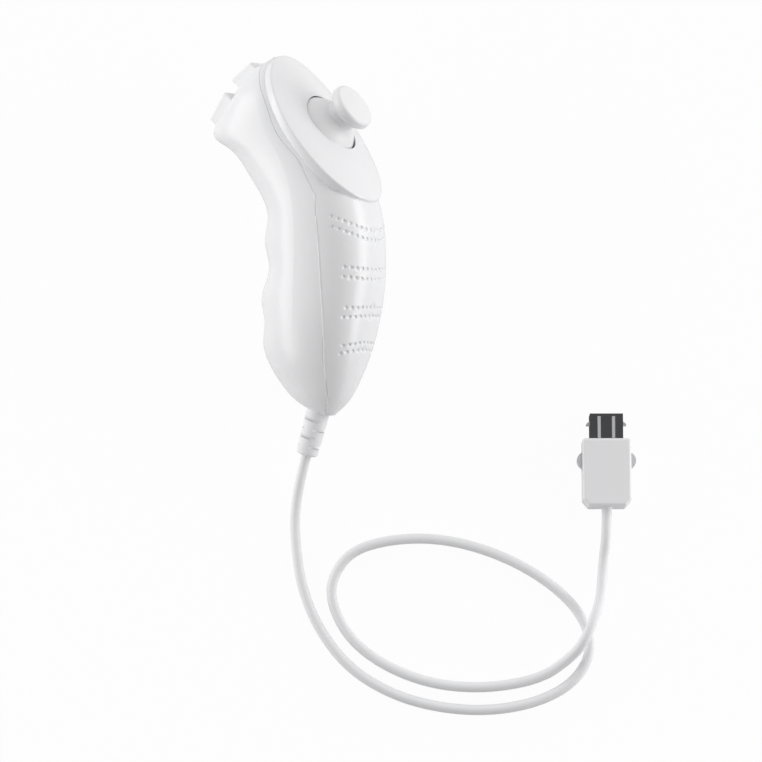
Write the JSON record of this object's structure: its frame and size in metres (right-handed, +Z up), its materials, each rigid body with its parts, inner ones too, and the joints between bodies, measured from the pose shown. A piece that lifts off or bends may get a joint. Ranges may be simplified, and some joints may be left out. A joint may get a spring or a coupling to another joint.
{
  "type": "motion controller",
  "caption": "Corded motion controller: curved grip with a thumb stick on its face, two buttons on its nose, a slotted strain relief, a looped cord and a snap-in plug.",
  "frame": {"origin": "middle of the underside of the controller's own box, as it lies on its side, without its strain relief, cord and plug", "axes": "+Y from the tail to the head, +X to the thumb stick's side, +Z up from the surface it lies on"},
  "size_m": [0.1343, 0.2061, 0.0454],
  "materials": {
    "white_shell": "satin, fine",
    "stick_white": "satin",
    "button_white": "satin",
    "cord_white": "matte",
    "plug_white": "satin",
    "connector_dark": "matte",
    "contact_gold": "bright",
    "latch_grey": "satin",
    "screw_steel": "plain",
    "works_metal": "plain",
    "works_plastic": "matte",
    "sensor_green": "matte",
    "board_green": "solder mask",
    "chip_black": "matte",
    "dome_rubber": "matte",
    "ribbon_grey": "matte"
  },
  "bodies": {
    "controller": {"front_shell": "white_shell", "back_shell": "white_shell", "casing_screws": "screw_steel", "stick_frame": "works_metal", "stick_base": "works_plastic", "potentiometer_x": "sensor_green", "potentiometer_y": "sensor_green", "spring_plunger": "works_plastic", "stick_spring": "screw_steel", "head_board": "board_green", "head_board_screws": "screw_steel", "z_pivot_pin": "screw_steel", "c_rubber_dome": "dome_rubber", "z_rubber_dome": "dome_rubber", "button_board": "board_green", "button_board_screws": "screw_steel", "main_board": "board_green", "main_board_screws": "screw_steel", "board_chips": "chip_black", "cable_header": "works_plastic", "inner_cable": "cord_white", "head_ribbon": "ribbon_grey", "button_ribbon": "ribbon_grey", "cable_boot": "cord_white", "cord": "cord_white", "plug_top_cover": "plug_white", "plug_bottom_cover": "plug_white", "plug_shell": "connector_dark", "contact_carrier": "connector_dark", "plug_contacts": "contact_gold", "ground_springs": "works_metal", "latch_pins": "screw_steel"},
    "yoke": {"stick_yoke": "works_plastic"},
    "stick": {"thumb_stick": "stick_white", "stick_stem": "works_plastic"},
    "arch": {"sensor_arch": "works_plastic"},
    "c_key": {"c_button": "button_white"},
    "z_key": {"z_trigger": "button_white"},
    "left_arm": {"latch_arm_left": "latch_grey"},
    "right_arm": {"latch_arm_right": "latch_grey"}
  },
  "joints": [
    {"name": "stick_forward", "type": "hinge", "parent": "controller", "child": "yoke", "pos_m": [0.00536, 0.03007, 0.02607], "axis": [-0.5446, -0.1456, 0.8259], "range_deg": [-17, 17], "stiffness_Nm_per_rad": 0.06},
    {"name": "stick_sideways", "type": "hinge", "parent": "yoke", "child": "stick", "pos_m": [0.00536, 0.03007, 0.02607], "axis": [0.4419, -0.8868, 0.1351], "range_deg": [-17, 17], "stiffness_Nm_per_rad": 0.06},
    {"name": "arch_turn", "type": "hinge", "parent": "controller", "child": "arch", "pos_m": [0.00536, 0.03007, 0.02607], "axis": [0.4419, -0.8868, 0.1351], "range_deg": [-17.5, 17.5]},
    {"name": "c_press", "type": "slide", "parent": "controller", "child": "c_key", "axis": [0.6349, -0.7151, 0.2926], "range_m": [0, 0.001], "stiffness_N_per_m": 300, "deforming": ["c_rubber_dome"]},
    {"name": "z_press", "type": "hinge", "parent": "controller", "child": "z_key", "pos_m": [-0.01887, 0.03585, 0.01111], "axis": [0.5446, 0.1456, -0.8259], "range_deg": [0, 5.5], "stiffness_Nm_per_rad": 0.08, "deforming": ["z_rubber_dome"]},
    {"name": "latch_left", "type": "hinge", "parent": "controller", "child": "left_arm", "pos_m": [0.09215, -0.0803, 0.0048], "axis": [0, 0, -1], "range_deg": [0, 2.4], "stiffness_Nm_per_rad": 0.02},
    {"name": "latch_right", "type": "hinge", "parent": "controller", "child": "right_arm", "pos_m": [0.10205, -0.0803, 0.0048], "axis": [0, 0, 1], "range_deg": [0, 2.4], "stiffness_Nm_per_rad": 0.02}
  ],
  "couplings": [
    {"joint": "arch_turn", "follows": "stick_sideways", "ratio": 1}
  ]
}
